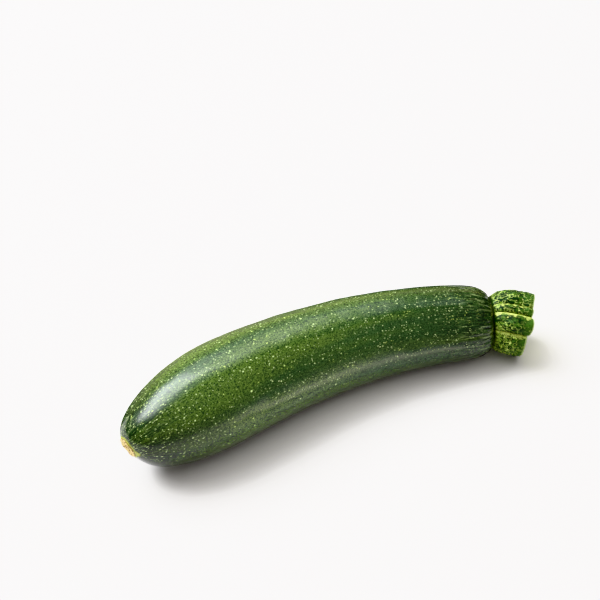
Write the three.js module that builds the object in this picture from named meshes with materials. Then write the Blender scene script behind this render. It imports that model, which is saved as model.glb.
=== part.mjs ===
// A zucchini (courgette) as picked, lying on its side: one bent, faintly ribbed fruit with a corky
// blossom scar at one end, and the cut stub of its ridged stem at the other.
//
// Millimetres, +Z up. +X runs from the blossom end to the stem, and the fruit bows towards +Y.
// The origin is on the surface that the fruit rests on, under the middle of its bounding box.
import * as THREE from "three";

// Fruit: lengths are measured along its bent axis, from the blossom scar to the stem's seat.
const FRUIT_LENGTH = 181.8;
const BELLY_RADIUS = 22.7; // thickest, where the blossom dome ends
const NECK_RADIUS = 16.6; // just before the shoulder rounds in to the stem
const TAPER_POWER = 1.1;
const DOME_LENGTH = 55;
const DOME_POWER = 2.22; // superellipse: 2 is an ellipse, more is blunter
const SHOULDER_LENGTH = 14;
const SHOULDER_POWER = 1.95;
const SEAT_RADIUS = 11; // the flat end that the stem stands on
const TIP_DROOP = 0.8; // how far the blossom tip hangs under the line of the belly

// The axis seen from above is one cubic Bezier curve.
const BLOSSOM_HEADING = 15.6; // degrees from +X, turning towards +Y
const NECK_HEADING = -18.5;
const CHORD_HEADING = 3;
const BLOSSOM_HANDLE = 0.4; // handle lengths, as shares of the fruit's length
const NECK_HANDLE = 0.36;

// Ribs: five broad ones and ten faint ones, deeper towards the neck.
const MAIN_RIBS = 5;
const MAIN_RIB_DEPTH = 0.012; // as a share of the local radius
const MINOR_RIBS = 10;
const MINOR_RIB_DEPTH = 0.004;
const NECK_RIB_GAIN = 2.2;
const RIB_TURN = 18; // degrees that the first rib stands off the vertical

// Blossom scar: a corky disc that stands out of the skin, a little hollow inside its rim.
const SCAR_RADIUS = 4.2;
const SCAR_RIM_RADIUS = 5.4;
const SCAR_RECESS = 0.3;
const SCAR_RIM_HEIGHT = 0.9;
const SCAR_TILT = 14; // degrees that the disc faces down
const SCAR_TILT_LENGTH = 14; // from the tip to where that tilt has died out

// Stem stub: a core that swells from its foot, carrying ribs that lie side by side.
const STEM_LENGTH = 17.2;
const STEM_GAP = 0.3; // clearance between the fruit's seat and the stem's foot
const STEM_FOOT_RADIUS = 10.2;
const STEM_WAIST_RADIUS = 12;
const STEM_END_RADIUS = 12.1;
const STEM_FOOT_ROUND = 3.2; // length over which the foot swells to the waist
const STEM_BULGE = 0.3; // how far its sides bow out, halfway
const STEM_RIB_FOOT = 0.3; // share of a rib's height at the foot
const STEM_RIB_RISE = 8; // length over which the ribs grow to their full height
const STEM_TURN = -17; // degrees that the stem turns on from the neck's heading
const STEM_SAG = 8.5; // degrees that it points down
const STEM_RIM_ROUND = 0.5;
const STEM_CUT_DISH = 0.9; // how far the middle of the cut has shrunk in

// Each rib of the stem: where its crest stands, in degrees from straight up towards -Y, half its
// width in degrees, how far it stands out, and how far its end runs past the cut.
const STEM_RIBS = [
  { crest: -24, width: 30, height: 3.1, overrun: -0.3 },
  { crest: 16, width: 10, height: 2.0, overrun: 0.3 },
  { crest: 46, width: 20, height: 2.5, overrun: 1.8 },
  { crest: 98, width: 32, height: 2.3, overrun: 0.3 },
  { crest: 142, width: 12, height: 1.6, overrun: 0.4 },
  { crest: 178, width: 24, height: 2.4, overrun: -0.2 },
  { crest: 213, width: 11, height: 2.0, overrun: 0.6 },
  { crest: 245, width: 21, height: 2.5, overrun: 0 },
  { crest: 277, width: 11, height: 2.0, overrun: 0.5 },
  { crest: 297, width: 9, height: 1.8, overrun: -0.4 },
];

// Resting: the belly's line is let into the surface by this much, and what is under it is flat.
const CONTACT_FLAT = 0.45;

// Faceting.
const FRUIT_SEGMENTS = 60;
const FRUIT_RINGS = 44;
const STEM_SEGMENTS = 90;
const STEM_RINGS = 11;

const UP = new THREE.Vector3(0, 0, 1);
const radians = THREE.MathUtils.degToRad;
const clamp01 = (x) => THREE.MathUtils.clamp(x, 0, 1);
const heading = (degrees) =>
  new THREE.Vector2(Math.cos(radians(degrees)), Math.sin(radians(degrees)));

// A quarter superellipse: 1 at 0, falling to 0 at 1.
function roundOff(share, power) {
  return Math.pow(Math.max(0, 1 - Math.pow(clamp01(share), power)), 1 / power);
}

// Radius that the fruit would have with neither end rounded off.
function bodyRadius(station) {
  const share = clamp01((station - DOME_LENGTH) / (FRUIT_LENGTH - DOME_LENGTH));
  return BELLY_RADIUS - (BELLY_RADIUS - NECK_RADIUS) * Math.pow(share, TAPER_POWER);
}

function fruitRadius(station) {
  const dome = roundOff((DOME_LENGTH - station) / DOME_LENGTH, DOME_POWER);
  const shoulderStart = FRUIT_LENGTH - SHOULDER_LENGTH;
  const shoulder = roundOff((station - shoulderStart) / SHOULDER_LENGTH, SHOULDER_POWER);
  const seat = SEAT_RADIUS / NECK_RADIUS;
  return bodyRadius(station) * dome * (seat + (1 - seat) * shoulder);
}

// The axis: where it is, and which way it runs, at a distance from the blossom scar.
function makeAxis() {
  const start = new THREE.Vector2(0, 0);
  const end = heading(CHORD_HEADING).multiplyScalar(FRUIT_LENGTH);
  const firstHandle = heading(BLOSSOM_HEADING).multiplyScalar(BLOSSOM_HANDLE * FRUIT_LENGTH);
  const lastHandle = heading(NECK_HEADING).multiplyScalar(-NECK_HANDLE * FRUIT_LENGTH).add(end);
  const plan = new THREE.CubicBezierCurve(start, firstHandle, lastHandle, end);
  const shrink = FRUIT_LENGTH / plan.getLength();
  for (const point of [plan.v1, plan.v2, plan.v3]) point.multiplyScalar(shrink);
  plan.updateArcLengths();

  // The belly's underside lies along the surface, so the axis is one radius above it.
  function height(station) {
    const droop = TIP_DROOP * clamp01(1 - station / DOME_LENGTH) ** 2;
    return bodyRadius(station) - CONTACT_FLAT - droop;
  }

  return function frameAt(station) {
    const share = clamp01(station / FRUIT_LENGTH);
    const point = plan.getPointAt(share);
    const run = plan.getTangentAt(share);
    const past = station - share * FRUIT_LENGTH; // beyond either end the axis runs on straight
    const along = new THREE.Vector3(run.x, run.y, 0);
    const origin = new THREE.Vector3(point.x, point.y, height(share * FRUIT_LENGTH));
    origin.addScaledVector(along, past);
    const tilt = SCAR_TILT * clamp01(1 - station / SCAR_TILT_LENGTH) ** 2;
    return { origin, along: bent(along, 0, -tilt) };
  };
}

// Turns a lathed solid, which stands on the Y axis, into one that follows a line: each vertex keeps
// its height as the distance along the line, and its offset from the Y axis as the offset from it.
function followLine(geometry, frameAt, reshape) {
  const position = geometry.getAttribute("position");
  for (let i = 0; i < position.count; i++) {
    const across = position.getX(i);
    const above = position.getZ(i);
    const angle = Math.atan2(across, above); // from straight up, towards -Y
    const shaped = reshape(Math.hypot(across, above), angle, position.getY(i));
    const { origin, along } = frameAt(shaped.station);
    const side = new THREE.Vector3().crossVectors(along, UP).normalize();
    const top = new THREE.Vector3().crossVectors(side, along);
    origin.addScaledVector(side, shaped.radius * Math.sin(angle));
    origin.addScaledVector(top, shaped.radius * Math.cos(angle));
    position.setXYZ(i, origin.x, origin.y, Math.max(origin.z, 0));
  }
  geometry.deleteAttribute("uv");
  geometry.computeVertexNormals();
  return geometry;
}

function ribFactor(angle, station) {
  const share = station / FRUIT_LENGTH;
  const fade = THREE.MathUtils.smoothstep(share, 0.02, 0.25);
  const gain = 1 + (NECK_RIB_GAIN - 1) * THREE.MathUtils.smoothstep(share, 0.6, 1);
  const turned = angle - radians(RIB_TURN);
  const main = MAIN_RIB_DEPTH * Math.cos(MAIN_RIBS * turned);
  const minor = MINOR_RIB_DEPTH * Math.cos(MINOR_RIBS * turned);
  return 1 + fade * gain * (main + minor);
}

function fruitProfile() {
  const scarEdge = stationOfRadius(SCAR_RIM_RADIUS);
  const profile = [
    new THREE.Vector2(0, scarEdge - SCAR_RIM_HEIGHT + SCAR_RECESS),
    new THREE.Vector2(0.7 * SCAR_RADIUS, scarEdge - SCAR_RIM_HEIGHT + 0.8 * SCAR_RECESS),
    new THREE.Vector2(SCAR_RADIUS, scarEdge - SCAR_RIM_HEIGHT),
    new THREE.Vector2(0.5 * (SCAR_RADIUS + SCAR_RIM_RADIUS), scarEdge - 0.55 * SCAR_RIM_HEIGHT),
    new THREE.Vector2(SCAR_RIM_RADIUS, scarEdge),
  ];
  // Rings crowd towards both ends, where the outline turns most.
  for (let ring = 1; ring <= FRUIT_RINGS; ring++) {
    const share = 0.5 - 0.5 * Math.cos((Math.PI * ring) / FRUIT_RINGS);
    const station = scarEdge + (FRUIT_LENGTH - scarEdge) * share;
    profile.push(new THREE.Vector2(fruitRadius(station), station));
  }
  profile.push(new THREE.Vector2(0, FRUIT_LENGTH));
  return profile;
}

// How far from the tip the dome reaches a given radius.
function stationOfRadius(radius) {
  const across = Math.pow(radius / BELLY_RADIUS, DOME_POWER);
  return DOME_LENGTH * (1 - Math.pow(1 - across, 1 / DOME_POWER));
}

function makeFruit(frameAt) {
  const lathed = new THREE.LatheGeometry(fruitProfile(), FRUIT_SEGMENTS);
  const shaped = followLine(lathed, frameAt, (radius, angle, station) => ({
    radius: radius * ribFactor(angle, station),
    station,
  }));
  const skin = new THREE.MeshStandardMaterial({ color: 0x35551c, roughness: 0.35, metalness: 0 });
  const fruit = new THREE.Mesh(shaped, skin);
  fruit.name = "fruit";
  return fruit;
}

// How far the stem's ribs stand out at an angle, and how far their ends run past the cut.
function stemRibs(angle) {
  for (const rib of STEM_RIBS) {
    const turned = THREE.MathUtils.euclideanModulo(angle - radians(rib.crest) + Math.PI, 2 * Math.PI);
    const share = Math.abs(turned - Math.PI) / radians(rib.width);
    if (share < 1) {
      const bump = Math.pow(1 - share ** 2, 0.6);
      return { height: rib.height * bump, overrun: rib.overrun * bump };
    }
  }
  return { height: 0, overrun: 0 };
}

// The stem's core, from its foot to the cut.
function stemProfile() {
  const profile = [new THREE.Vector2(0, 0)];
  for (let ring = 0; ring <= STEM_RINGS; ring++) {
    const share = Math.pow(ring / STEM_RINGS, 1.5);
    const station = share * (STEM_LENGTH - STEM_RIM_ROUND);
    const swell = roundOff(1 - station / STEM_FOOT_ROUND, 2);
    const taper = (STEM_WAIST_RADIUS - STEM_END_RADIUS) * share;
    const bulge = STEM_BULGE * Math.sin(Math.PI * share);
    const radius = STEM_FOOT_RADIUS + (STEM_WAIST_RADIUS - STEM_FOOT_RADIUS) * swell - taper + bulge;
    profile.push(new THREE.Vector2(radius, station));
  }
  profile.push(new THREE.Vector2(STEM_END_RADIUS - 1.4 * STEM_RIM_ROUND, STEM_LENGTH));
  profile.push(new THREE.Vector2(0.72 * STEM_END_RADIUS, STEM_LENGTH - 0.25 * STEM_CUT_DISH));
  profile.push(new THREE.Vector2(0.3 * STEM_END_RADIUS, STEM_LENGTH - 0.9 * STEM_CUT_DISH));
  profile.push(new THREE.Vector2(0, STEM_LENGTH - STEM_CUT_DISH));
  return profile;
}

// The stem leaves the neck along its heading, then turns and sags, most of all near its foot.
function makeStemAxis(fruitFrameAt) {
  const { origin: seat, along: leaving } = fruitFrameAt(FRUIT_LENGTH);
  return function frameAt(station) {
    const share = clamp01(station / STEM_LENGTH);
    const now = share * (2 - share);
    const soFar = share * (1 - share / 3); // the mean of now, from the foot to here
    const origin = seat.clone().addScaledVector(leaving, STEM_GAP);
    origin.addScaledVector(bent(leaving, STEM_TURN * soFar, STEM_SAG * soFar), station);
    return { origin, along: bent(leaving, STEM_TURN * now, STEM_SAG * now) };
  };
}

function bent(direction, turn, sag) {
  const side = new THREE.Vector3().crossVectors(direction, UP).normalize();
  return direction.clone().applyAxisAngle(side, radians(-sag)).applyAxisAngle(UP, radians(turn));
}

function makeStem(fruitFrameAt) {
  const lathed = new THREE.LatheGeometry(stemProfile(), STEM_SEGMENTS);
  const shaped = followLine(lathed, makeStemAxis(fruitFrameAt), (radius, angle, station) => {
    const share = station / STEM_LENGTH;
    const rib = stemRibs(angle);
    // Ribs start low at the foot, swell into rounded knuckles, and stay full to the cut.
    const swell = STEM_RIB_FOOT + (1 - STEM_RIB_FOOT) * THREE.MathUtils.smoothstep(station, 0, STEM_RIB_RISE);
    return {
      radius: radius * (1 + (swell * rib.height) / STEM_WAIST_RADIUS),
      station: station + share * rib.overrun * (radius / STEM_END_RADIUS),
    };
  });
  const rind = new THREE.MeshStandardMaterial({ color: 0x7fa03c, roughness: 0.55, metalness: 0 });
  const stem = new THREE.Mesh(shaped, rind);
  stem.name = "stem";
  return stem;
}

function makeZucchini() {
  const frameAt = makeAxis();
  const zucchini = new THREE.Group();
  zucchini.add(makeFruit(frameAt), makeStem(frameAt));
  const middle = new THREE.Box3().setFromObject(zucchini).getCenter(new THREE.Vector3());
  zucchini.position.set(-middle.x, -middle.y, 0);
  return zucchini;
}

export default makeZucchini();
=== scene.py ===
"""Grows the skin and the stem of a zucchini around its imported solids, and sets it on a pale studio floor.

Lengths are in metres, in the frame of the solids: +X runs from the blossom end to the stem, +Z is up,
and the floor is at Z = 0.
"""

import math
from bisect import bisect_right

import bmesh
import bpy
from bpy.props import FloatProperty, FloatVectorProperty, IntProperty, PointerProperty
from mathutils import Matrix, Vector, noise
from mathutils.geometry import interpolate_bezier


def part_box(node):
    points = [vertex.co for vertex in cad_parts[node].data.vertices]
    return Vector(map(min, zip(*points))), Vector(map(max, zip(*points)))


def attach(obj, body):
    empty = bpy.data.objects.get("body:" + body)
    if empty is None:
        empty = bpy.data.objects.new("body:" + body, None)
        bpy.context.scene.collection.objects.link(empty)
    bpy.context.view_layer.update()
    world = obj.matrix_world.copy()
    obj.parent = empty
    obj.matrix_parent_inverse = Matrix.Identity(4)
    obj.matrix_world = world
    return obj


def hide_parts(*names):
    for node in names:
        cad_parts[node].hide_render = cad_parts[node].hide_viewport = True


bl_info = {
    "name": "Zucchini",
    "version": (1, 0, 0),
    "blender": (4, 5, 0),
    "location": "3D View > Sidebar > Zucchini",
    "description": "Grows a zucchini's skin and cut stem, and lights it on a pale floor",
    "category": "Add Mesh",
}

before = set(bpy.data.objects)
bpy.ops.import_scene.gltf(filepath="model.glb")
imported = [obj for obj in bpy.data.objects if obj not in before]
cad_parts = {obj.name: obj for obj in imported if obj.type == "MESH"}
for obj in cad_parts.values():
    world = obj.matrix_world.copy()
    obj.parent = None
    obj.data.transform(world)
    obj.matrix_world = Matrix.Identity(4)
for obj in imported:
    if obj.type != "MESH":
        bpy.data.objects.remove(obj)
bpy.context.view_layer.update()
BODY = "root"
MM = 0.001
UP = Vector((0, 0, 1))


# Settings ------------------------------


def number(name, description, default, **kind):
    return FloatProperty(name=name, description=description, default=default, **kind)


def metres(name, description, default):
    return number(name, description, default, unit="LENGTH", precision=5)


def degrees(name, description, default):
    return number(name, description, math.radians(default), subtype="ANGLE")


def share(name, description, default):
    return number(name, description, default, min=0, soft_max=1)


def count(name, description, default):
    return IntProperty(name=name, description=description, default=default, min=1)


def colour(name, description, red, green, blue):
    return FloatVectorProperty(
        name=name, description=description, subtype="COLOR", size=3, min=0, max=1, default=(red, green, blue)
    )


class FruitShape(bpy.types.PropertyGroup):
    """Sizes of the fruit. Stations along it are measured from the blossom scar."""

    length: metres("Length", "From the blossom scar to the stem's seat, along the bent axis", 0.1818)
    belly_radius: metres("Belly radius", "Thickest, where the blossom dome ends", 0.0227)
    neck_radius: metres("Neck radius", "Just before the shoulder rounds in to the stem", 0.0166)
    taper_power: number("Taper power", "1 tapers evenly from belly to neck", 1.1)
    dome_length: metres("Dome length", "Blossom end's rounding", 0.055)
    dome_power: number("Dome power", "2 is an ellipse, more is blunter", 2.22)
    shoulder_length: metres("Shoulder length", "Rounding beside the stem", 0.014)
    shoulder_power: number("Shoulder power", "2 is an ellipse, more is blunter", 1.95)
    seat_radius: metres("Seat radius", "Flat end that the stem stands on", 0.011)
    tip_droop: metres("Tip droop", "How far the tip hangs under the belly's line", 0.0008)
    contact_flat: metres("Contact flat", "How far the belly's line is let into the floor", 0.00045)
    blossom_heading: degrees("Blossom heading", "The axis at the scar, turning from +X to +Y", 15.6)
    neck_heading: degrees("Neck heading", "The axis at the stem's seat", -18.5)
    chord_heading: degrees("Chord heading", "From the scar straight to the seat", 3)
    blossom_handle: share("Blossom handle", "As a share of the length", 0.4)
    neck_handle: share("Neck handle", "As a share of the length", 0.36)
    main_ribs: count("Main ribs", "Broad ribs around the fruit", 5)
    main_rib_depth: share("Main rib depth", "As a share of the local radius", 0.012)
    minor_ribs: count("Minor ribs", "Faint ribs around the fruit", 10)
    minor_rib_depth: share("Minor rib depth", "As a share of the local radius", 0.004)
    neck_rib_gain: number("Neck rib gain", "How much deeper the ribs are at the neck", 2.2)
    rib_turn: degrees("Rib turn", "How far the first rib stands off the vertical", 18)
    scar_radius: metres("Scar radius", "Corky disc", 0.0042)
    scar_rim_radius: metres("Scar rim radius", "Where the disc's raised rim meets the skin", 0.0054)
    scar_recess: metres("Scar recess", "How far the disc's middle has sunk in", 0.0003)
    scar_rim_height: metres("Scar rim height", "How far the disc stands out", 0.0009)
    scar_crumbs: metres("Scar crumbs", "Height of the crumbs on the disc", 0.00016)
    scar_lobes: metres("Scar lobes", "Height of the disc's five lobes", 0.00018)
    scar_tilt: degrees("Scar tilt", "How far the disc faces down", 14)
    scar_tilt_length: metres("Scar tilt length", "From the tip to where that tilt has died out", 0.014)
    folds: count("Folds", "Shallow folds round the shoulder", 34)
    fold_depth: metres("Fold depth", "Of the folds, where they are deepest", 0.00013)
    swell: metres("Swell", "Slow unevenness of the skin", 0.00022)
    pleat_height: metres("Pleat height", "Of the fine pleats that run in to the stem", 0.0005)
    pleat_length: metres("Pleat length", "How far the pleats reach from the stem", 0.014)
    segments: count("Segments", "Faces around", 250)
    rings: count("Rings", "Faces along the skin", 352)


class SkinLook(bpy.types.PropertyGroup):
    """Colours of the fruit's skin and of its blossom scar."""

    seam_green: colour("Seam green", "Dark streaks at both ends", 0.006, 0.016, 0.005)
    deep_green: colour("Deep green", "Darkest of the mottling", 0.014, 0.036, 0.011)
    leaf_green: colour("Leaf green", "Most of the skin", 0.1, 0.166, 0.036)
    cool_green: colour("Cool green", "Bands along the fruit, and most of both ends", 0.05, 0.104, 0.037)
    # Also paints the highlights on the folds beside the stem's seat.
    pale_green_and_highlight: colour("Pale green", "Light streaks at both ends", 0.3, 0.4, 0.16)
    fleck: colour("Fleck", "The small pale spots", 0.74, 0.92, 0.4)
    yellow_fleck: colour("Yellow fleck", "Some of the small pale spots", 0.7, 0.9, 0.22)
    halo: colour("Halo", "Rim of the blossom scar and patches beside it", 0.42, 0.46, 0.04)
    cork: colour("Cork", "Blossom scar", 0.93, 0.76, 0.34)
    cork_edge: colour("Cork edge", "Brown crumbs and outline of the scar", 0.16, 0.07, 0.02)
    roughness: share("Roughness", "Of the waxy skin", 0.205)
    under_roughness: share("Roughness underneath", "Of the smoother wax on the lower side", 0.1)
    neck_shade: share("Neck shade", "How dark the skin is at the neck", 0.68)
    tip_shade: share("Tip shade", "How dark the skin is round the blossom scar", 0.55)
    # Painted shade: the skin's lower side is darkened as if shaded by the floor.
    belly_painted_shade: share("Belly shade", "How dark the skin is underneath", 0.45)
    # Painted shade on the lower side of the blossom dome.
    dome_painted_shade: share("Dome shade", "How dark the skin is on the dome's lower side", 0.72)
    # Painted shade in the crease where the stem stands on the fruit.
    seat_painted_shade: share("Seat shade", "How dark the skin is beside the stem", 0.3)


class StemShape(bpy.types.PropertyGroup):
    """Sizes of the cut stem. Stations along it are measured from its foot."""

    length: metres("Length", "From the foot to the cut", 0.0172)
    gap: metres("Gap", "Between the fruit's seat and the foot", 0.0003)
    foot_radius: metres("Foot radius", "Of the core, under the ribs", 0.0102)
    waist_radius: metres("Waist radius", "Of the core, above the foot", 0.012)
    end_radius: metres("End radius", "Of the core, at the cut", 0.0121)
    foot_round: metres("Foot round", "Length over which the foot swells to the waist", 0.0032)
    bulge: metres("Bulge", "How far the sides bow out, halfway", 0.0003)
    rib_foot: share("Rib foot", "Share of a rib's height at the foot", 0.3)
    rib_rise: metres("Rib rise", "Length over which the ribs grow to their full height", 0.008)
    turn: degrees("Turn", "How far the stem turns on from the neck's heading", -17)
    sag: degrees("Sag", "How far it points down at the cut", 8.5)
    rim_round: metres("Rim round", "Rounding of the cut's edge", 0.0005)
    cut_dish: metres("Cut dish", "How far the middle of the cut has shrunk in", 0.0009)
    rib_waver: share("Rib waver", "How much a rib's height wavers", 0.3)
    wart_height: metres("Wart height", "Of the rind's small warts", 0.0006)
    grain_height: metres("Grain height", "Of the rind's fine grain", 0.00016)
    fibre_height: metres("Fibre height", "Of the fibres in the cut", 0.00014)
    segments: count("Segments", "Faces around", 560)
    rings: count("Rings", "Faces from the foot to the cut", 84)
    cut_rings: count("Cut rings", "Faces across the cut, from rim to middle", 30)


class RindLook(bpy.types.PropertyGroup):
    """Colours of the stem's rind and of its cut end."""

    # Also the painted shade in the furrows and at the stem's foot.
    deep_rind_and_shade: colour("Deep rind", "Darkest blotches and the furrows", 0.004, 0.018, 0.004)
    rind: colour("Rind", "Most of the ribs", 0.04, 0.104, 0.014)
    yellowed_rind: colour("Yellowed rind", "Blotches towards the foot", 0.2, 0.31, 0.05)
    wart: colour("Wart", "Pale network and warts", 0.56, 0.7, 0.18)
    # Partly painted highlight: the rind's pale grooves, kept only on the ribs' lit upper edges.
    crease_and_highlight: colour("Crease", "Pale lines along the ribs' upper edges", 0.7, 0.8, 0.2)
    pith: colour("Pith", "The cut and its lip", 0.5, 0.6, 0.25)
    fibre: colour("Fibre", "Bundles in the cut", 0.75, 0.75, 0.4)
    roughness: share("Roughness", "Of the rind", 0.42)


class StageSetup(bpy.types.PropertyGroup):
    """Floor, wall, lights and camera."""

    camera_azimuth: degrees("Camera azimuth", "0 looks along +Y", -24.41)
    camera_elevation: degrees("Camera elevation", "Above the floor", 43)
    camera_distance: metres("Camera distance", "From the point that it looks at", 0.7938)
    camera_aim: FloatVectorProperty(
        name="Camera aim",
        description="Point on the floor that the camera looks at",
        subtype="XYZ",
        unit="LENGTH",
        default=(0.0129, 0.0601, 0),
    )
    focal_length: number("Focal length", "In millimetres", 100)
    sensor_width: number("Sensor width", "In millimetres", 36)
    floor_radius: metres("Floor radius", "Of the round floor", 6)
    floor_colour: colour("Floor colour", "Matt white", 0.815, 0.8, 0.8)
    backdrop_radius: metres("Backdrop radius", "Of the round wall that only the camera sees", 1.8)
    backdrop_height: metres("Backdrop height", "Of that wall", 3)
    backdrop_foot: colour("Backdrop foot", "Glow of the wall at the floor", 1.0, 0.985, 0.985)
    backdrop_top: colour("Backdrop top", "Glow of the wall higher up", 0.96, 0.95, 0.94)
    backdrop_glow: number("Backdrop glow", "Brightness of the wall", 1.5)
    light: number("Light", "Strength of all the lights", 1)
    light_distance: metres("Light distance", "Of every light, from the point that they look at", 2)
    light_aim: metres("Light aim", "Height of that point", 0.02)
    sky: share("Sky", "Brightness of the surroundings", 0.16)
    sky_colour: colour("Sky colour", "Of the surroundings", 1, 0.96, 0.92)


SETTINGS = {
    "zucchini_fruit": FruitShape,
    "zucchini_skin": SkinLook,
    "zucchini_stem": StemShape,
    "zucchini_rind": RindLook,
    "zucchini_stage": StageSetup,
}

# Each rib of the stem: degrees of its crest from straight up towards -Y, half its width in degrees, how
# far it stands out and how far its end runs past the cut, in mm, and how warty it is.
STEM_RIBS = (
    (-24, 30, 3.1, -0.3, 0.55),
    (16, 10, 2.0, 0.3, 0.7),
    (46, 20, 2.5, 1.8, 0.1),
    (98, 32, 2.3, 0.3, 1.0),
    (142, 12, 1.6, 0.4, 0.6),
    (178, 24, 2.4, -0.2, 0.7),
    (213, 11, 2.0, 0.6, 0.4),
    (245, 21, 2.5, 0.0, 0.9),
    (277, 11, 2.0, 0.5, 0.5),
    (297, 9, 1.8, -0.4, 0.6),
)

# Each light: watts, width and height, degrees to the right of straight behind, elevation, how far it is
# rolled about its own beam, its tint, and whether it shows in matt surfaces, in gloss, or on the floor only.
LIGHTS = (
    ("key", 50, (1.5, 1.0), -62, 51, 0, (0.98, 0.99, 1), "matt"),
    ("diffuser", 50, (2.2, 1.8), -62, 55, 0, (0.98, 0.99, 1), "matt"),
    ("side_sheet", 5, (1.4, 1.2), 15, 50, 0, (1, 1, 1), "matt"),
    ("overhead", 24, (2.5, 2.5), 0, 90, 0, (1, 1, 1), "matt"),
    ("front_fill", 3, (2.4, 0.7), 180, 12, 0, (1, 0.98, 0.95), "matt"),
    ("floor_fill", 11, (2.5, 2.5), 160, 62, 0, (1, 0.95, 0.88), "floor"),
    ("window", 42, (1.75, 0.9), -58, 55, 6, (0.93, 0.98, 1), "gloss"),
    ("window_core", 22, (1.2, 0.65), -60, 45, 10, (0.93, 0.98, 1), "gloss"),
    ("window_side", 9, (1.1, 1.3), -8, 50, 0, (0.96, 0.98, 1), "gloss"),
    ("window_glow", 22, (3.4, 2.0), -38, 45, 0, (0.96, 0.98, 1), "gloss"),
    ("window_top", 15, (2.6, 1.2), -40, 73, 0, (0.96, 0.98, 1), "gloss"),
    ("ceiling", 23, (2.5, 2.5), 0, 90, 0, (1, 1, 1), "gloss"),
    ("room", 15, (4.0, 3.0), 150, 35, 0, (1, 1, 0.96), "gloss"),
    ("low_room", 1, (4.0, 0.6), 165, 4, 0, (1, 0.98, 0.9), "gloss"),
)

# Each card that only the fruit's gloss sees. In mm: the stations where it starts and ends, how far it
# stands before the fruit's axis, how far it reaches out and up, how far it is moved, and the stations and
# the reaches between which its first colour turns in to its last. Then both colours and its brightness.
# The flag keeps the bright floor out of the fruit's top, and the bounce brightens the neck's lower side.
FLAG = ((0.05, 0.06, 0.035), (0.72, 0.66, 0.42), 1.0)
BOUNCE = ((0.37, 0.37, 0.36), (1, 0.98, 0.82), 3.9)
CARDS = (
    ("back_flag", (-100, 158), -46, (0, 57), (100.2, 13.9, 0), (-200, -100), (15, 35), *FLAG),
    ("front_bounce", (80, 210), 34, (220, 0), (0, 0, 0), (95, 145), (0, 45), *BOUNCE),
)

# Each size of fleck: how far apart they are across and along the fruit in mm, the size of a spot as a
# share of that, how pale the weakest and the strongest are, how much of that is left at both ends, and
# a shift that keeps the patterns apart.
FLECKS = (
    (1.2, 1.45, 0.23, 0.0, 0.6, 1.2, 3.0),
    (2.2, 2.7, 0.145, 0.2, 0.95, 0.75, 5.0),
    (3.9, 4.9, 0.095, 0.6, 1.0, 0.55, 7.0),
    (6.4, 8.2, 0.075, 0.85, 1.0, 0.4, 13.0),
)


# Forms ------------------------------


def clamp01(value):
    return min(max(value, 0.0), 1.0)


def smoothstep(value, low, high):
    t = clamp01((value - low) / (high - low))
    return t * t * (3 - 2 * t)


def round_off(part, power):
    """A quarter superellipse: 1 at 0, falling to 0 at 1."""
    return max(0.0, 1 - clamp01(part) ** power) ** (1 / power)


def body_radius(shape, station):
    """Radius that the fruit would have with neither end rounded off."""
    along = clamp01((station - shape.dome_length) / (shape.length - shape.dome_length))
    return shape.belly_radius - (shape.belly_radius - shape.neck_radius) * along**shape.taper_power


def fruit_radius(shape, station):
    dome = round_off((shape.dome_length - station) / shape.dome_length, shape.dome_power)
    into_shoulder = (station - shape.length + shape.shoulder_length) / shape.shoulder_length
    seat = shape.seat_radius / shape.neck_radius
    shoulder = seat + (1 - seat) * round_off(into_shoulder, shape.shoulder_power)
    return body_radius(shape, station) * dome * shoulder


def dome_station(shape, radius):
    """How far from the tip the dome reaches a given radius."""
    across = (radius / shape.belly_radius) ** shape.dome_power
    return shape.dome_length * (1 - (1 - across) ** (1 / shape.dome_power))


def heading(turned):
    return Vector((math.cos(turned), math.sin(turned), 0))


def around(turned):
    """The direction out from a straight body's axis, at an angle from straight up towards -Y."""
    return Vector((math.sin(turned), math.cos(turned), 0))


def waver(place, size):
    """Smooth noise from -1 to 1, with waves of about a given size."""
    return noise.noise(place * (1 / size))


def crumble(place, size):
    """Rough noise, with crumbs of about a given size and smaller ones on them."""
    return noise.fractal(place * (1 / size), 0.9, 2.0, 3)


class BentAxis:
    """The fruit's axis: one cubic Bezier curve seen from above, a body radius over the floor."""

    STEPS = 600

    def __init__(self, shape):
        end = heading(shape.chord_heading) * shape.length
        first_handle = heading(shape.blossom_heading) * shape.blossom_handle * shape.length
        last_handle = end - heading(shape.neck_heading) * shape.neck_handle * shape.length
        points = interpolate_bezier(Vector((0, 0, 0)), first_handle, last_handle, end, self.STEPS)
        run = sum((b - a).length for a, b in zip(points, points[1:]))
        self.shape = shape
        self.points = [point * (shape.length / run) for point in points]
        self.stations = [0.0]
        for a, b in zip(self.points, self.points[1:]):
            self.stations.append(self.stations[-1] + (b - a).length)

    def height(self, station):
        droop = self.shape.tip_droop * clamp01(1 - station / self.shape.dome_length) ** 2
        return body_radius(self.shape, station) - self.shape.contact_flat - droop

    def frame_at(self, station):
        """Where the axis is, and which way it runs; past either end it runs on straight."""
        inside = min(max(station, 0.0), self.stations[-1])
        after = min(bisect_right(self.stations, inside), self.STEPS - 1)
        before = after - 1
        along = (self.points[after] - self.points[before]).normalized()
        origin = self.points[before] + along * (inside - self.stations[before])
        origin.z = self.height(inside)
        origin += along * (station - inside)
        tilt = self.shape.scar_tilt * clamp01(1 - station / self.shape.scar_tilt_length) ** 2
        return origin, bent(along, 0, -tilt)


def bent(direction, turn, sag):
    """A direction turned about the vertical and tipped down."""
    side = direction.cross(UP).normalized()
    tipped = Matrix.Rotation(-sag, 3, side) @ direction
    return Matrix.Rotation(turn, 3, UP) @ tipped


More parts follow.
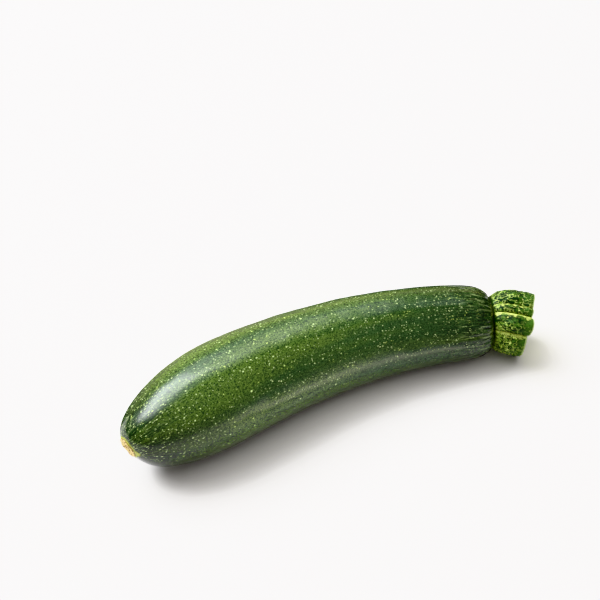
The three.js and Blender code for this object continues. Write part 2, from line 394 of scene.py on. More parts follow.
class StemAxis:
    """The stem's axis: it leaves the neck straight, then turns and sags, most of all near its foot."""

    def __init__(self, stem, fruit):
        self.stem = stem
        self.seat, self.leaving = BentAxis(fruit).frame_at(fruit.length)

    def frame_at(self, station):
        stem = self.stem
        part = clamp01(station / stem.length)
        now = part * (2 - part)
        so_far = part * (1 - part / 3)  # the mean of now, from the foot to here
        towards = bent(self.leaving, stem.turn * so_far, stem.sag * so_far)
        origin = self.seat + self.leaving * stem.gap + towards * station
        return origin, bent(self.leaving, stem.turn * now, stem.sag * now)


def spun(profile, segments):
    """A closed body from a profile of (radius, station) points, spun about Z.

    Each vertex keeps its run: how far along the profile it is.
    """
    bm = bmesh.new()
    run = bm.verts.layers.float.new("run")
    verts = [bm.verts.new((radius, 0, station)) for radius, station in profile]
    edges = [bm.edges.new(pair) for pair in zip(verts, verts[1:])]
    for before, after in zip(verts, verts[1:]):
        after[run] = before[run] + (after.co - before.co).length
    bmesh.ops.spin(
        bm,
        geom=verts + edges,
        cent=(0, 0, 0),
        axis=(0, 0, 1),
        angle=2 * math.pi,
        steps=segments,
        use_merge=True,
    )
    bmesh.ops.remove_doubles(bm, verts=bm.verts, dist=1e-7)
    bmesh.ops.recalc_face_normals(bm, faces=bm.faces)
    return bm


def set_on_axis(vert, axis, radius, turned, station):
    """Moves a spun vertex to its place round a bent axis, and no lower than the floor."""
    origin, along = axis.frame_at(station)
    side = along.cross(UP).normalized()
    top = side.cross(along)
    place = origin + side * (radius * math.sin(turned)) + top * (radius * math.cos(turned))
    place.z = max(place.z, 0.0)
    vert.co = place


def centring_shift(bm, node):
    """How far to move a body so that its plan box gets the middle of its solid's box."""
    low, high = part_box(node)
    xs = [vert.co.x for vert in bm.verts]
    ys = [vert.co.y for vert in bm.verts]
    return Vector(((low.x + high.x - min(xs) - max(xs)) / 2, (low.y + high.y - min(ys) - max(ys)) / 2, 0))


def linked(data):
    """Puts an object of a mesh, light or camera in the scene, with the same name."""
    made = bpy.data.objects.new(data.name, data)
    bpy.context.scene.collection.objects.link(made)
    return made


def linked_mesh(name, bm, material):
    mesh = bpy.data.meshes.new(name)
    bm.to_mesh(mesh)
    bm.free()
    mesh.materials.append(material)
    return linked(mesh)


def finished_piece(bm, name, material, node):
    """Makes a smooth object of a bmesh, and lets it stand for its solid."""
    piece = linked_mesh(name, bm, material)
    piece.data.shade_smooth()
    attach(piece, BODY)
    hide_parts(node)
    return piece


# Fruit ------------------------------


def fruit_profile(shape):
    """The fruit's (radius, station) outline, from the middle of the scar to the middle of the seat."""
    edge = dome_station(shape, shape.scar_rim_radius)
    profile = []
    scar_rings = 22
    for ring in range(scar_rings):
        radius = shape.scar_rim_radius * ring / scar_rings
        sunk = shape.scar_recess * (1 - smoothstep(radius, 0.35 * shape.scar_radius, shape.scar_radius))
        raised = shape.scar_rim_height * (1 - smoothstep(radius, shape.scar_radius, shape.scar_rim_radius))
        profile.append((radius, edge + sunk - raised))
    for ring in range(shape.rings + 1):
        # Rings crowd a little towards both ends, where the outline turns most.
        even = ring / shape.rings
        crowded = 0.5 - 0.5 * math.cos(math.pi * even)
        station = edge + (shape.length - edge) * (0.7 * even + 0.3 * crowded)
        profile.append((fruit_radius(shape, station), station))
    seat_rings = 6
    for ring in range(1, seat_rings + 1):
        profile.append((shape.seat_radius * (1 - ring / seat_rings), shape.length))
    return profile


def rib_factor(shape, turned, station):
    """How much wider the ribs make the body at an angle and a station."""
    part = station / shape.length
    fade = smoothstep(part, 0.02, 0.25)
    gain = 1 + (shape.neck_rib_gain - 1) * smoothstep(part, 0.6, 1)
    off = turned - shape.rib_turn
    main = shape.main_rib_depth * math.cos(shape.main_ribs * off)
    minor = shape.minor_rib_depth * math.cos(shape.minor_ribs * off)
    return 1 + fade * gain * (main + minor)


def skin_relief(shape, place, turned, station):
    """How far the skin stands out at a place on the straight body, beyond its ribs."""
    slow = waver(place, 16 * MM) + 0.5 * waver(place, 7 * MM)
    relief = shape.swell * slow * smoothstep(station, 4 * MM, 30 * MM)
    # Folds that gather towards the stem, each with its own way and depth.
    near = smoothstep(station, shape.length - 34 * MM, shape.length - 4 * MM)
    wander = Vector((math.cos(turned) * 2.2, math.sin(turned) * 2.2, station * 60))
    phase = shape.folds * turned + 2.4 * noise.noise(wander)
    own = 0.55 + 0.6 * noise.noise(wander * 2.7 + Vector((7, 3, 1)))
    return relief + shape.fold_depth * near * near * own * math.cos(phase)


def scar_relief(shape, place, radius, turned):
    """Crumbs and lobes of the blossom scar, along the axis."""
    inside = 1 - smoothstep(radius, shape.scar_radius, 1.6 * shape.scar_rim_radius)
    crumbs = crumble(place, 0.9 * MM) * shape.scar_crumbs
    lobes = math.cos(5 * turned + 0.8) * shape.scar_lobes * smoothstep(radius, 1 * MM, shape.scar_radius)
    return inside * (crumbs + lobes)


def pleats(shape, turned, station, radius):
    """Fine pleats that run in to the stem: sharp crests between wide hollows, deeper towards it."""
    crests = 1 - 3.2 * abs(noise.noise(around(turned) * 5.5 + UP * station * 45))
    near = smoothstep(station, shape.length - shape.pleat_length, shape.length - 2 * MM)
    return crests * near * smoothstep(radius, 0.45 * shape.seat_radius, 0.9 * shape.seat_radius)


def grown_fruit(shape):
    """The fruit. Its skin and grown layers, in mm, keep places on the straight body for the material."""
    bm = spun(fruit_profile(shape), shape.segments)
    run = bm.verts.layers.float["run"]
    skin = bm.verts.layers.float_vector.new("skin")
    grown = bm.verts.layers.float_vector.new("grown")
    axis = BentAxis(shape)
    for vert in bm.verts:
        place = vert.co.copy()
        radius = math.hypot(place.x, place.y)
        turned = math.atan2(place.x, place.y)
        vert[skin] = place / MM
        vert[grown] = (around(turned) * shape.belly_radius + UP * vert[run]) / MM
        station = place.z
        raised = radius * rib_factor(shape, turned, station)
        raised += smoothstep(radius, 0, 4 * MM) * skin_relief(shape, place, turned, station)
        raised += shape.pleat_height * pleats(shape, turned, station, radius)
        if station < shape.dome_length / 4:
            station += scar_relief(shape, place, radius, turned)
        set_on_axis(vert, axis, raised, turned, station)
    return bm


# Stem ------------------------------


def stem_rib(turned):
    """The rib at an angle: how full it is there from 0 to 1, its height, overrun and wartiness.

    Also how far the place is from the rib's upper and lower edges, in radians. Down its lower side a rib
    grows as warty as the next one is.
    """
    for rib, following in zip(STEM_RIBS, STEM_RIBS[1:] + STEM_RIBS[:1]):
        crest, width, height, overrun, warty = rib
        off = (turned - math.radians(crest) + math.pi) % (2 * math.pi) - math.pi
        reach = math.radians(width)
        part = off / reach
        if abs(part) < 1:
            warty += (following[-1] - warty) * 0.6 * smoothstep(part, -0.2, 0.6)
            return (1 - part**2) ** 0.6, height * MM, overrun * MM, warty, reach + off, reach - off
    return (0.0,) * 6


def stem_profile(stem):
    foot_rings = 5
    profile = [(stem.foot_radius * ring / foot_rings, 0.0) for ring in range(foot_rings)]
    side_length = stem.length - stem.rim_round
    for ring in range(stem.rings + 1):
        # Rings crowd a little towards the foot.
        station = (ring / stem.rings) ** 1.15 * side_length
        swell = round_off(1 - station / stem.foot_round, 2)
        taper = (stem.waist_radius - stem.end_radius) * station / side_length
        bulge = stem.bulge * math.sin(math.pi * station / side_length)
        radius = stem.foot_radius + (stem.waist_radius - stem.foot_radius) * swell - taper + bulge
        profile.append((radius, station))
    for degrees_round in (27, 54, 76.5):
        rounded = math.radians(degrees_round)
        inset = stem.rim_round * (1 - math.cos(rounded))
        profile.append((stem.end_radius - inset, side_length + stem.rim_round * math.sin(rounded)))
    cut_radius = stem.end_radius - stem.rim_round
    for ring in range(stem.cut_rings + 1):
        radius = cut_radius * (1 - ring / stem.cut_rings)
        dish = stem.cut_dish * (1 - smoothstep(radius, 0, 0.85 * cut_radius))
        profile.append((radius, stem.length - dish))
    return profile


def warts(place, size):
    """Small round bumps, 1 at the top of each: they stand where a random cell's middle is close."""
    distances, _ = noise.voronoi(place * (1 / size))
    return 1 - smoothstep(distances[0], 0.12, 0.52)


def grown_stem(stem, fruit):
    """The stem. Its rind layer, in mm, and two others keep what the material needs to know of the ribs."""
    bm = spun(stem_profile(stem), stem.segments)
    rind = bm.verts.layers.float_vector.new("rind")
    relief = bm.verts.layers.float_vector.new("relief")
    rib = bm.verts.layers.float_vector.new("rib")
    axis = StemAxis(stem, fruit)
    cut_radius = stem.end_radius - stem.rim_round
    for vert in bm.verts:
        place = vert.co.copy()
        radius = math.hypot(place.x, place.y)
        turned = math.atan2(place.x, place.y)
        part = place.z / stem.length
        full, height, overrun, warty, past_upper, before_lower = stem_rib(turned)
        wobble = stem.rib_waver * waver(Vector((place.x, place.y, place.z * 0.9)), 3.6 * MM)
        on_side = smoothstep(radius, 0.9 * stem.foot_radius, stem.foot_radius)
        swell = stem.rib_foot + (1 - stem.rib_foot) * smoothstep(place.z, 0, stem.rib_rise)
        ribbed = radius * (1 + swell * full * height * (1 + wobble) / stem.waist_radius)
        body = around(turned) * ribbed + UP * place.z
        side = smoothstep(radius, cut_radius - 0.4 * MM, cut_radius) if part > 0.9 else on_side
        long_place = Vector((body.x, body.y, body.z * 0.62))
        small = 0.7 * warts(long_place + body * 0.3, 0.8 * MM)
        wart = warty * side * max(warts(long_place, 1.25 * MM), small)
        ribbed += stem.wart_height * wart * smoothstep(place.z, 0.5 * MM, 3 * MM)
        ribbed += stem.grain_height * side * waver(long_place, 1.6 * MM)
        station = place.z + part * overrun * full * (radius / stem.end_radius)
        if part > 0.9:
            fibres = crumble(Vector((place.x, place.y, 0)), 1.1 * MM)
            station += stem.fibre_height * fibres * (1 - 0.6 * side)
        vert[rind] = body / MM
        vert[relief] = Vector((full * side, wart, 1 - side if part > 0.9 else 0))
        vert[rib] = Vector((past_upper, before_lower, warty))
        set_on_axis(vert, axis, ribbed, turned, station)
    return bm


# Materials ------------------------------


class Sheet:
    """Short ways to add and join the nodes of one material."""

    def __init__(self, name):
        self.material = bpy.data.materials.new(name)
        self.material.use_nodes = True
        self.tree = self.material.node_tree

    def add(self, kind, inputs=(), **settings):
        node = self.tree.nodes.new("ShaderNode" + kind)
        for key, value in settings.items():
            setattr(node, key, value)
        for key, value in dict(inputs).items():
            self.feed(node.inputs[key], value)
        return node

    def feed(self, socket, value):
        """Links a socket to another, or sets its own value."""
        if isinstance(value, bpy.types.NodeSocket):
            self.tree.links.new(value, socket)
        elif hasattr(value, "__len__") and socket.type == "RGBA":
            socket.default_value = (*value[:3], 1)
        else:
            socket.default_value = value

    def finished(self, values):
        """Sets the sockets of the surface's own shader, and gives the finished material."""
        surface = self.tree.nodes["Principled BSDF"]
        for name, value in values.items():
            self.feed(surface.inputs[name], value)
        return self.material

    def attribute(self, name, output="Vector"):
        return self.add("Attribute", attribute_name=name, attribute_type="GEOMETRY").outputs[output]

    def parts(self, vector):
        """A vector's three numbers."""
        return self.add("SeparateXYZ", {"Vector": vector}).outputs[:]

    def vector_maths(self, operation, *values, output="Vector"):
        return self.add("VectorMath", dict(enumerate(values)), operation=operation).outputs[output]

    def maths(self, operation, *values, clamp=False):
        node = self.add("Math", dict(enumerate(values)), operation=operation, use_clamp=clamp)
        return node.outputs["Value"]

    def product(self, first, *others, clamp=False):
        for value in others:
            first = self.maths("MULTIPLY", first, value, clamp=clamp)
        return first

    def ramp(self, value, low, high, to_low=0.0, to_high=1.0):
        """A smooth step from one value to another."""
        return self.add(
            "MapRange",
            {"Value": value, "From Min": low, "From Max": high, "To Min": to_low, "To Max": to_high},
            interpolation_type="SMOOTHSTEP",
        ).outputs["Result"]

    def band(self, value, start, full, fading, end):
        """1 in the middle of a range of values, and 0 outside it."""
        return self.product(self.ramp(value, start, full), self.ramp(value, end, fading))

    def mixed(self, factor, first, second):
        return self.add("Mix", {0: factor, 6: first, 7: second}, data_type="RGBA").outputs[2]

    def painted(self, base, *coats):
        """A colour with others over it, each given as how much of it there is, and what it is."""
        for amount, over in coats:
            base = self.mixed(amount, base, over)
        return base

    def stretched(self, vector, across, along, shift=0.0):
        """A pattern's place, from the sizes of its features across and along the piece, in mm.

        A pattern that has no size along is the same all the way. The shift keeps patterns apart.
        """
        scale = (1 / across, 1 / across, 1 / along if along else 0)
        shifts = (shift, shift * 0.7, shift * 1.3)
        place = {"Vector": vector, "Scale": scale, "Location": shifts}
        return self.add("Mapping", place).outputs["Vector"]

    def noise(self, vector, across, along, shift, detail=2.0, roughness=0.5, output="Fac"):
        place = self.stretched(vector, across, along, shift)
        inputs = {"Vector": place, "Scale": 1.0, "Detail": detail, "Roughness": roughness}
        return self.add("TexNoise", inputs).outputs[output]

    def cells(self, vector, across, along, shift):
        """Random cells: how far a place is from the middle of its cell, and the cell's own random number."""
        place = self.stretched(vector, across, along, shift)
        cells = self.add("TexVoronoi", {"Vector": place, "Scale": 1.0}, feature="F1").outputs
        own = self.add("SeparateColor", {"Color": cells["Color"]}).outputs["Red"]
        return cells["Distance"], own

    def bump(self, height, depth):
        """Relief with a depth in mm."""
        inputs = {"Height": height, "Distance": depth * MM, "Strength": 1.0}
        return self.add("Bump", inputs).outputs["Normal"]


class SkinSheet(Sheet):
    """The fruit's skin, and the places on it that its patterns follow, in mm."""

    def __init__(self, look, shape):
        super().__init__("fruit_skin")
        self.look = look
        self.disc_radius = shape.scar_radius / MM
        self.rim_radius = shape.scar_rim_radius / MM
        self.skin = self.attribute("skin")
        self.grown = self.attribute("grown")
        self.station = self.parts(self.skin)[2]
        self.before_seat = self.maths("SUBTRACT", shape.length / MM, self.station)
        _, height, self.run = self.parts(self.grown)
        # How far a place is above the axis, as a share of the belly's radius.
        self.above = self.maths("DIVIDE", height, shape.belly_radius / MM)
        self.off_axis = self.vector_maths("LENGTH", self.stretched(self.skin, 1, None), output="Value")
        self.at_tip = self.ramp(self.station, 12, 8)
        # 1 on the scar's corky disc, 0 around it.
        edge = self.ramp(self.off_axis, self.disc_radius + 0.75, self.disc_radius + 0.4)
        self.disc = self.product(self.at_tip, edge)

    def mottled(self):
        """A fine grain of deep and leaf green, over broad cool and warm bands along the fruit."""
        look = self.look
        bands = self.noise(self.grown, 9, 130, 4.0)
        near_stem = self.ramp(self.station, 100, 160)
        near_scar = self.ramp(self.run, 35, 12)
        cooled = self.product(self.maths("MAXIMUM", near_stem, near_scar), 0.1)
        warmth = self.maths("SUBTRACT", bands, cooled)
        leaf = self.mixed(self.ramp(warmth, 0.33, 0.6), look.cool_green, look.leaf_green)
        grain = self.noise(self.grown, 0.52, 0.68, 1, detail=1.0, roughness=0.6)
        mottle = self.maths("ADD", self.product(bands, 0.12), grain)
        return self.mixed(self.ramp(mottle, 0.45, 0.64), look.deep_green, leaf)

    def streaked(self, skin_colour):
        """Fine streaks that run in to the stem and to the scar, and painted highlights on the folds beside
        the seat.
        """
        look = self.look
        streaks = self.noise(self.grown, 0.75, 5, 2.0, roughness=0.6)
        near_stem = self.ramp(self.before_seat, 40, 4)
        near_scar = self.ramp(self.run, 34, 8)
        ends = self.maths("MAXIMUM", near_stem, near_scar)
        folds = self.noise(self.grown, 2.2, 14, 15.0, detail=1.0)
        fold_highlight_by_seat = self.ramp(self.before_seat, 10, 3, 0, 0.6)
        return self.painted(
            skin_colour,
            (self.product(self.ramp(streaks, 0.52, 0.42), ends, 0.9), look.seam_green),
            (self.product(self.ramp(streaks, 0.6, 0.68), ends, 0.7), look.pale_green_and_highlight),
            # Painted highlights along the folds beside the seat.
            (self.product(self.ramp(folds, 0.6, 0.66), fold_highlight_by_seat), look.pale_green_and_highlight),
        )

    def shaded(self, skin_colour):
        """Darker towards both ends, with painted shade on the dome's lower side, underneath, and beside the
        seat.
        """
        look = self.look
        # Painted shade on the dome's lower side, away from the light.
        low = self.ramp(self.above, 0.7, 0.4)
        painted_shade_under_dome = self.product(low, self.ramp(self.run, 65, 35, 0, 1 - look.dome_painted_shade))
        shade = self.product(
            self.ramp(self.station, 105, 168, 1, look.neck_shade),
            self.ramp(self.run, 50, 11, 1, look.tip_shade),
            # Painted shade underneath.
            self.ramp(self.above, 0.05, -0.75, 1, look.belly_painted_shade),
            # Painted shade in the crease beside the seat.
            self.ramp(self.before_seat, 1.8, 0.2, 1, look.seat_painted_shade),
            self.maths("SUBTRACT", 1, painted_shade_under_dome),
        )
        return self.add("VectorMath", {0: skin_colour, "Scale": shade}, operation="SCALE").outputs["Vector"]

    def flecks(self):
        """Flecks of four sizes, a little out of round, and dashes at both ends: fewer underneath."""
        wander = self.noise(self.skin, 0.18, 0.26, 40.0, detail=0.0, output="Color")
        warped = self.vector_maths("MULTIPLY_ADD", wander, (0.6,) * 3, self.grown)
        near_stem = self.ramp(self.station, 110, 150)
        near_scar = self.ramp(self.run, 40, 18, 0, 0.9)
        to_ends = self.maths("MAXIMUM", near_stem, near_scar)
        fleck = 0.0
        for across, along, size, weakest, strongest, at_ends, shift in FLECKS:
            off_middle, own = self.cells(warped, across, along, shift)
            spot = self.product(
                self.ramp(off_middle, size, 0.65 * size),
                self.ramp(own, 0.15, 0.85, weakest, strongest),
                self.ramp(to_ends, 0, 1, 1, at_ends),
                clamp=True,
            )
            fleck = self.maths("MAXIMUM", fleck, spot)
        off_middle, own = self.cells(self.grown, 1.15, 2.6, 17.0)
        by_stem = self.ramp(self.before_seat, 30, 6, 0, 0.5)
        by_scar = self.ramp(self.run, 42, 16, 0, 0.9)
        by_ends = self.maths("MAXIMUM", by_stem, by_scar)
        dash = self.product(self.ramp(off_middle, 0.26, 0.12), self.ramp(own, 0.1, 0.9), by_ends)
        upper = self.ramp(self.above, -0.4, 0.15, 0.25, 1.0)
        off_seat = self.ramp(self.before_seat, 2, 20, 0.3, 1.0)
        return self.product(self.maths("MAXIMUM", fleck, dash), upper, off_seat)

    def flecked(self, skin_colour, fleck):
        hue = self.noise(self.grown, 6, 22, 11.0)
        fleck_colour = self.mixed(self.ramp(hue, 0.5, 0.64), self.look.fleck, self.look.yellow_fleck)
        return self.mixed(fleck, skin_colour, fleck_colour)

    def scarred(self, skin_colour):
        """The blossom scar: a ragged yellow-green rim, and a corky disc with brown crumbs and outline."""
        look, rim = self.look, self.rim_radius
        rays = self.noise(self.skin, 3.5, None, 5.0)
        ragged = self.product(self.ramp(rays, 0.5, 0.7), 1.5)
        halo = self.ramp(self.maths("SUBTRACT", self.off_axis, ragged), rim + 0.9, rim - 0.3)
        crumbs = self.noise(self.skin, 1.1, 1.1, 9.0, roughness=0.6)
        wavering = self.maths("MULTIPLY_ADD", crumbs, 1.6, self.off_axis)
        cork = self.painted(
            look.cork,
            (self.ramp(crumbs, 0.5, 0.57), look.cork_edge),
            (self.product(self.band(wavering, 1.9, 2.2, 2.45, 2.8), 0.75), look.cork_edge),
        )
        outline = self.band(self.off_axis, *(self.disc_radius + step for step in (0.35, 0.65, 0.8, 1.1)))
        return self.painted(
            skin_colour,
            (self.product(halo, self.at_tip, 0.75), look.halo),
            (self.disc, cork),
            (self.product(outline, self.at_tip, 0.7), look.cork_edge),
        )


def skin_material(look, shape):
    """Waxy green skin: mottled, streaked towards its ends, flecked, with a corky blossom scar."""
    sheet = SkinSheet(look, shape)
    fleck = sheet.flecks()
    skin_colour = sheet.shaded(sheet.streaked(sheet.mottled()))
    skin_colour = sheet.scarred(sheet.flecked(skin_colour, fleck))
    pebbles = sheet.noise(sheet.skin, 0.8, 1.1, 6.0, roughness=0.6)
    relief = sheet.maths("ADD", sheet.product(fleck, 0.4), pebbles)
    wax = sheet.ramp(sheet.above, 0.2, 0.6, look.under_roughness, look.roughness)
    rough = sheet.maths("ADD", wax, sheet.product(fleck, 0.12))
    return sheet.finished(
        {
            "Base Color": skin_colour,
            "Normal": sheet.bump(relief, 0.036),
            "Roughness": sheet.maths("MAXIMUM", rough, sheet.product(sheet.disc, 0.8)),
            "IOR": 1.45,
        }
    )


class RindSheet(Sheet):
    """The stem's rind, and the places on it that its patterns follow, in mm."""

    def __init__(self, look, stem):
        super().__init__("stem_rind")
        self.look = look
        self.rind = self.attribute("rind")
        _, self.above, self.station = self.parts(self.rind)
        self.part = self.maths("DIVIDE", self.station, stem.length / MM)
        self.full, self.wart, self.cut = self.parts(self.attribute("relief"))
        self.past_upper, self.before_lower, self.wartiness = self.parts(self.attribute("rib"))
        self.blotches = self.noise(self.rind, 1.3, 2.2, 1, detail=3.0, roughness=0.65)

    def blotched(self):
        """Blotches of dark and mid green, yellower towards the foot."""
        look = self.look
        to_foot = self.ramp(self.part, 0.95, 0.05, 0, 0.14)
        ageing = self.maths("ADD", to_foot, self.product(self.wartiness, 0.07))
        return self.painted(
            look.deep_rind_and_shade,
            (self.ramp(self.blotches, 0.47, 0.56), look.rind),
            (self.ramp(self.maths("ADD", self.blotches, ageing), 0.71, 0.8), look.yellowed_rind),
        )

    def lined(self, green):
        """A ragged pale line along each rib's upper edge, partly painted highlight, and painted shade in the
        furrow below its lower edge.
        """
        ragged = self.product(self.maths("SUBTRACT", self.blotches, 0.5), 0.6)
        # The pale groove colour is kept on the lit upper edges only: partly painted highlight.
        line = self.product(
            self.ramp(self.maths("ADD", self.past_upper, ragged), 0.11, 0.05, 0, 0.9),
            self.ramp(self.wartiness, 0.2, 1.2, 1, 0.55),
            # Painted shade: no pale line on the stem's lower side.
            self.ramp(self.above, -8, -2),
        )
        # Painted shade in the furrows: under each rib's lower edge and deep between the ribs.
        furrow = self.maths(
            "MAXIMUM",
            self.ramp(self.maths("ADD", self.before_lower, ragged), 0.1, 0.03, 0, 0.85),
            self.ramp(self.full, 0.16, 0.06, 0, 0.9),
        )
        return self.painted(green, (line, self.look.crease_and_highlight), (furrow, self.look.deep_rind_and_shade))

    def network(self):
        """A curly network of thin lines, thickest where the ribs are warty."""
        curls = self.noise(self.rind, 1.6, 2.2, 6.0, detail=1.0)
        off_line = self.maths("ABSOLUTE", self.maths("SUBTRACT", curls, 0.5))
        patchy = self.noise(self.rind, 5, 6, 12.0, detail=1.0)
        patches = self.product(self.ramp(patchy, 0.36, 0.52), self.wartiness, clamp=True)
        warty = self.maths("MAXIMUM", patches, self.ramp(self.wart, 0.02, 0.25))
        return self.product(self.ramp(off_line, 0.05, 0.02), warty, self.ramp(self.full, 0.1, 0.3))

    def ended(self, green):
        """Painted shade at the foot, an even green at the ribs' far ends, and pale on the cut's lip."""
        look = self.look
        even = self.product(self.ramp(self.part, 0.62, 0.95), self.ramp(self.full, 0.3, 0.7, 0, 0.65))
        return self.painted(
            green,
            # Painted shade at the foot, in the crease against the fruit.
            (self.ramp(self.station, 1, 0.2, 0, 0.9), look.deep_rind_and_shade),
            (even, look.rind),
            (self.ramp(self.part, 0.955, 0.975, 0, 0.75), look.pith),
        )

    def pith(self):
        """The cut: fine grain, and pale bundles of fibre."""
        look = self.look
        grain = self.noise(self.rind, 0.6, None, 3.0, detail=3.0, roughness=0.6)
        off_middle, _ = self.cells(self.rind, 1.9, None, 4.0)
        return self.painted(
            look.pith,
            (self.ramp(grain, 0.3, 0.7, 0, 0.6), look.fibre),
            (self.ramp(off_middle, 0.3, 0.15, 0, 0.7), look.fibre),
        )


def rind_material(look, stem):
    """The stem: dark warty ribs with pale lines partly painted highlight, furrows of painted shade, a pale
    network, and a fibrous cut.
    """
    sheet = RindSheet(look, stem)
    network = sheet.network()
    green = sheet.lined(sheet.blotched())
    green = sheet.ended(sheet.mixed(sheet.product(network, 0.9), green, look.wart))
    fibres = sheet.noise(sheet.rind, 0.7, 4, 2.0, roughness=0.6)
    relief = sheet.maths("ADD", sheet.product(fibres, 0.4), sheet.product(network, 0.8))
    return sheet.finished(
        {
            "Base Color": sheet.mixed(sheet.cut, green, sheet.pith()),
            "Normal": sheet.bump(relief, 0.3),
            "Roughness": look.roughness,
            "IOR": 1.42,
            "Specular IOR Level": 0.2,
        }
    )


def floor_material(stage):
    return Sheet("floor_white").finished(
        {"Base Color": stage.floor_colour, "Roughness": 0.9, "Specular IOR Level": 0.1}
    )


def glowing(name, first_colour, last_colour, strength=1.0):
    """A card that glows in a mix of two colours: each vertex keeps its share of the last one."""
    sheet = Sheet(name)
    glow = sheet.mixed(sheet.attribute("glow", "Fac"), first_colour, last_colour)
    dark = {"Base Color": (0, 0, 0), "Specular IOR Level": 0}
    return sheet.finished({**dark, "Emission Color": glow, "Emission Strength": strength})


# Operators ------------------------------


def fruit_shift():
    """How far the fruit was moved from where its axis is."""
    return Vector(bpy.data.objects["fruit_flesh"]["shift"])


class ZUCCHINI_OT_grow_fruit(bpy.types.Operator):
    """Grow the fruit, with its ribs, flecks and blossom scar"""

    bl_idname = "zucchini.grow_fruit"
    bl_label = "Grow Fruit"

    def execute(self, context):
        scene = context.scene
        shape = scene.zucchini_fruit
        bm = grown_fruit(shape)
        shift = centring_shift(bm, "fruit")
        bmesh.ops.translate(bm, vec=shift, verts=bm.verts)
        material = skin_material(scene.zucchini_skin, shape)
        piece = finished_piece(bm, "fruit_flesh", material, "fruit")
        piece["shift"] = shift
        return {"FINISHED"}


class ZUCCHINI_OT_grow_stem(bpy.types.Operator):
    """Grow the cut stem on the fruit's seat"""

    bl_idname = "zucchini.grow_stem"
    bl_label = "Grow Stem"

    def execute(self, context):
        scene = context.scene
        stem = scene.zucchini_stem
        bm = grown_stem(stem, scene.zucchini_fruit)
        bmesh.ops.translate(bm, vec=fruit_shift(), verts=bm.verts)
        finished_piece(bm, "cut_stem", rind_material(scene.zucchini_rind, stem), "stem")
        return {"FINISHED"}


def outwards(azimuth, elevation):
    """The direction from the object to something at an azimuth and elevation; azimuth 0 is -Y."""
    flat = math.cos(elevation)
    return Vector((math.sin(azimuth) * flat, -math.cos(azimuth) * flat, math.sin(elevation)))


def aim(obj, direction, distance, target, roll=0.0):
    """Stands a light or camera off from a point, looking back at it, and rolls it about that line."""
    turned = direction.to_track_quat("Z", "Y").to_matrix() @ Matrix.Rotation(roll, 3, "Z")
    obj.matrix_world = Matrix.Translation(target + direction * distance) @ turned.to_4x4()


def soft_light(name, power, size, tint):
    data = bpy.data.lights.new(name, "AREA")
    data.shape = "RECTANGLE"
    data.size, data.size_y = size
    data.energy = power
    data.color = tint
    return linked(data)


def staged(name, bm, material, seen_by=None):
    """A mesh of the stage. Given seen_by, only that kind of ray meets it."""
    made = linked_mesh(name, bm, material)
    for rays in ("camera", "diffuse", "glossy", "transmission", "volume_scatter", "shadow"):
        setattr(made, "visible_" + rays, seen_by in (None, rays))
    return made


def card_beside(shape, ends, foot, reach, moved, fade_along, fade_out):
    """A strip that follows the fruit's axis beside it, and reaches outwards or up from the floor.

    Each vertex keeps its share of the card's last colour, by its station and how far it reaches.
    """
    axis = BentAxis(shape)
    moved = fruit_shift() + Vector(moved) * MM
    bm = bmesh.new()
    glow = bm.verts.layers.float.new("glow")
    bmesh.ops.create_grid(bm, x_segments=40, y_segments=12, size=0.5)
    for vert in bm.verts:
        along_card, off_foot = vert.co.x + 0.5, vert.co.y + 0.5
        station = ends[0] + (ends[1] - ends[0]) * along_card
        out, up = reach[0] * off_foot**2, reach[1] * off_foot
        vert[glow] = smoothstep(station, *fade_along) * smoothstep(max(out, up), *fade_out)
        # Before the tip the card runs straight on, with none of the scar's tilt.
        before_tip = min(station * MM - shape.scar_tilt_length, 0)
        origin, along = axis.frame_at(station * MM - before_tip)
        origin += along * before_tip + moved
        origin.z = 1 * MM
        vert.co = origin + (along.cross(UP).normalized() * (foot + out) + UP * up) * MM
    return bm


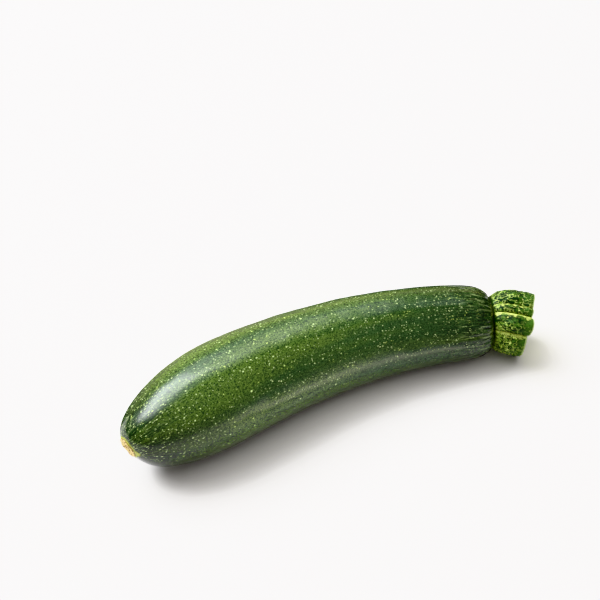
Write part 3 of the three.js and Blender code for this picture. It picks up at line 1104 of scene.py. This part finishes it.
class ZUCCHINI_OT_set_stage(bpy.types.Operator):
    """Lay the floor, and set up the wall, the lights, the cards and the camera"""

    bl_idname = "zucchini.set_stage"
    bl_label = "Set Stage"

    def execute(self, context):
        scene = context.scene
        stage = scene.zucchini_stage
        floor = self.lay_floor(stage)
        self.stand_backdrop(stage)
        self.set_camera(scene, stage)
        self.hang_lights(stage, floor)
        self.stand_cards(scene.zucchini_fruit)
        self.paint_surroundings(scene, stage)
        scene.view_settings.view_transform = "Khronos PBR Neutral"
        return {"FINISHED"}

    def lay_floor(self, stage):
        bm = bmesh.new()
        bmesh.ops.create_circle(bm, cap_ends=True, radius=stage.floor_radius, segments=96)
        return staged("floor", bm, floor_material(stage))

    def stand_backdrop(self, stage):
        """A pale wall all round, seen only by the camera, which hides the floor's dim far edge."""
        bm = bmesh.new()
        glow = bm.verts.layers.float.new("glow")
        bmesh.ops.create_circle(bm, radius=stage.backdrop_radius, segments=128)
        wall = bmesh.ops.extrude_edge_only(bm, edges=bm.edges[:])["geom"]
        top = [vert for vert in wall if isinstance(vert, bmesh.types.BMVert)]
        bmesh.ops.translate(bm, vec=UP * stage.backdrop_height, verts=top)
        for vert in top:
            vert[glow] = 1
        card = glowing("backdrop_card", stage.backdrop_foot, stage.backdrop_top, stage.backdrop_glow)
        staged("backdrop", bm, card, "camera")

    def set_camera(self, scene, stage):
        data = bpy.data.cameras.new("camera")
        data.lens = stage.focal_length
        data.sensor_width = stage.sensor_width
        camera = linked(data)
        back = outwards(stage.camera_azimuth, stage.camera_elevation)
        aim(camera, back, stage.camera_distance, Vector(stage.camera_aim))
        scene.camera = camera

    def hang_lights(self, stage, floor):
        """Azimuths of lights are as seen from the camera's side: behind the object is half a turn on."""
        behind = stage.camera_azimuth + math.pi
        target = UP * stage.light_aim
        floor_only = bpy.data.collections.new("floor_only")
        floor_only.objects.link(floor)
        for name, power, size, azimuth, elevation, roll, tint, shows_in in LIGHTS:
            light = soft_light(name, power * stage.light, size, tint)
            direction = outwards(behind - math.radians(azimuth), math.radians(elevation))
            aim(light, direction, stage.light_distance, target, math.radians(roll))
            light.visible_glossy = shows_in == "gloss"
            light.visible_diffuse = shows_in != "gloss"
            if shows_in == "floor":
                light.light_linking.receiver_collection = floor_only

    def stand_cards(self, shape):
        for name, ends, foot, reach, moved, fade_along, fade_out, *glow in CARDS:
            bm = card_beside(shape, ends, foot, reach, moved, fade_along, fade_out)
            staged(name, bm, glowing(name + "_card", *glow), "glossy")

    def paint_surroundings(self, scene, stage):
        """Dim and even, whichever way a ray leaves the stage."""
        world = bpy.data.worlds.new("studio")
        world.use_nodes = True
        background = world.node_tree.nodes["Background"]
        background.inputs["Color"].default_value = (*stage.sky_colour, 1)
        background.inputs["Strength"].default_value = stage.sky
        scene.world = world


class ZUCCHINI_PT_panel(bpy.types.Panel):
    """Lists the pieces and their settings"""

    bl_idname = "ZUCCHINI_PT_panel"
    bl_label = "Zucchini"
    bl_space_type = "VIEW_3D"
    bl_region_type = "UI"
    bl_category = "Zucchini"

    def draw(self, context):
        layout = self.layout
        for operator in OPERATORS:
            layout.operator(operator.bl_idname)
        for name, group in SETTINGS.items():
            box = layout.box()
            box.label(text=group.__name__)
            settings = getattr(context.scene, name)
            for key in group.__annotations__:
                box.prop(settings, key)


OPERATORS = (ZUCCHINI_OT_grow_fruit, ZUCCHINI_OT_grow_stem, ZUCCHINI_OT_set_stage)


def register():
    for cls in (*SETTINGS.values(), *OPERATORS, ZUCCHINI_PT_panel):
        bpy.utils.register_class(cls)
    for name, group in SETTINGS.items():
        setattr(bpy.types.Scene, name, PointerProperty(type=group))


def unregister():
    for name in SETTINGS:
        delattr(bpy.types.Scene, name)
    for cls in reversed((*SETTINGS.values(), *OPERATORS, ZUCCHINI_PT_panel)):
        bpy.utils.unregister_class(cls)


def write_sizes():
    """Brings the scene's objects up to date."""
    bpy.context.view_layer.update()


def main():
    register()
    bpy.ops.zucchini.grow_fruit()
    bpy.ops.zucchini.grow_stem()
    bpy.ops.zucchini.set_stage()
    write_sizes()


if __name__ == "__main__":
    main()
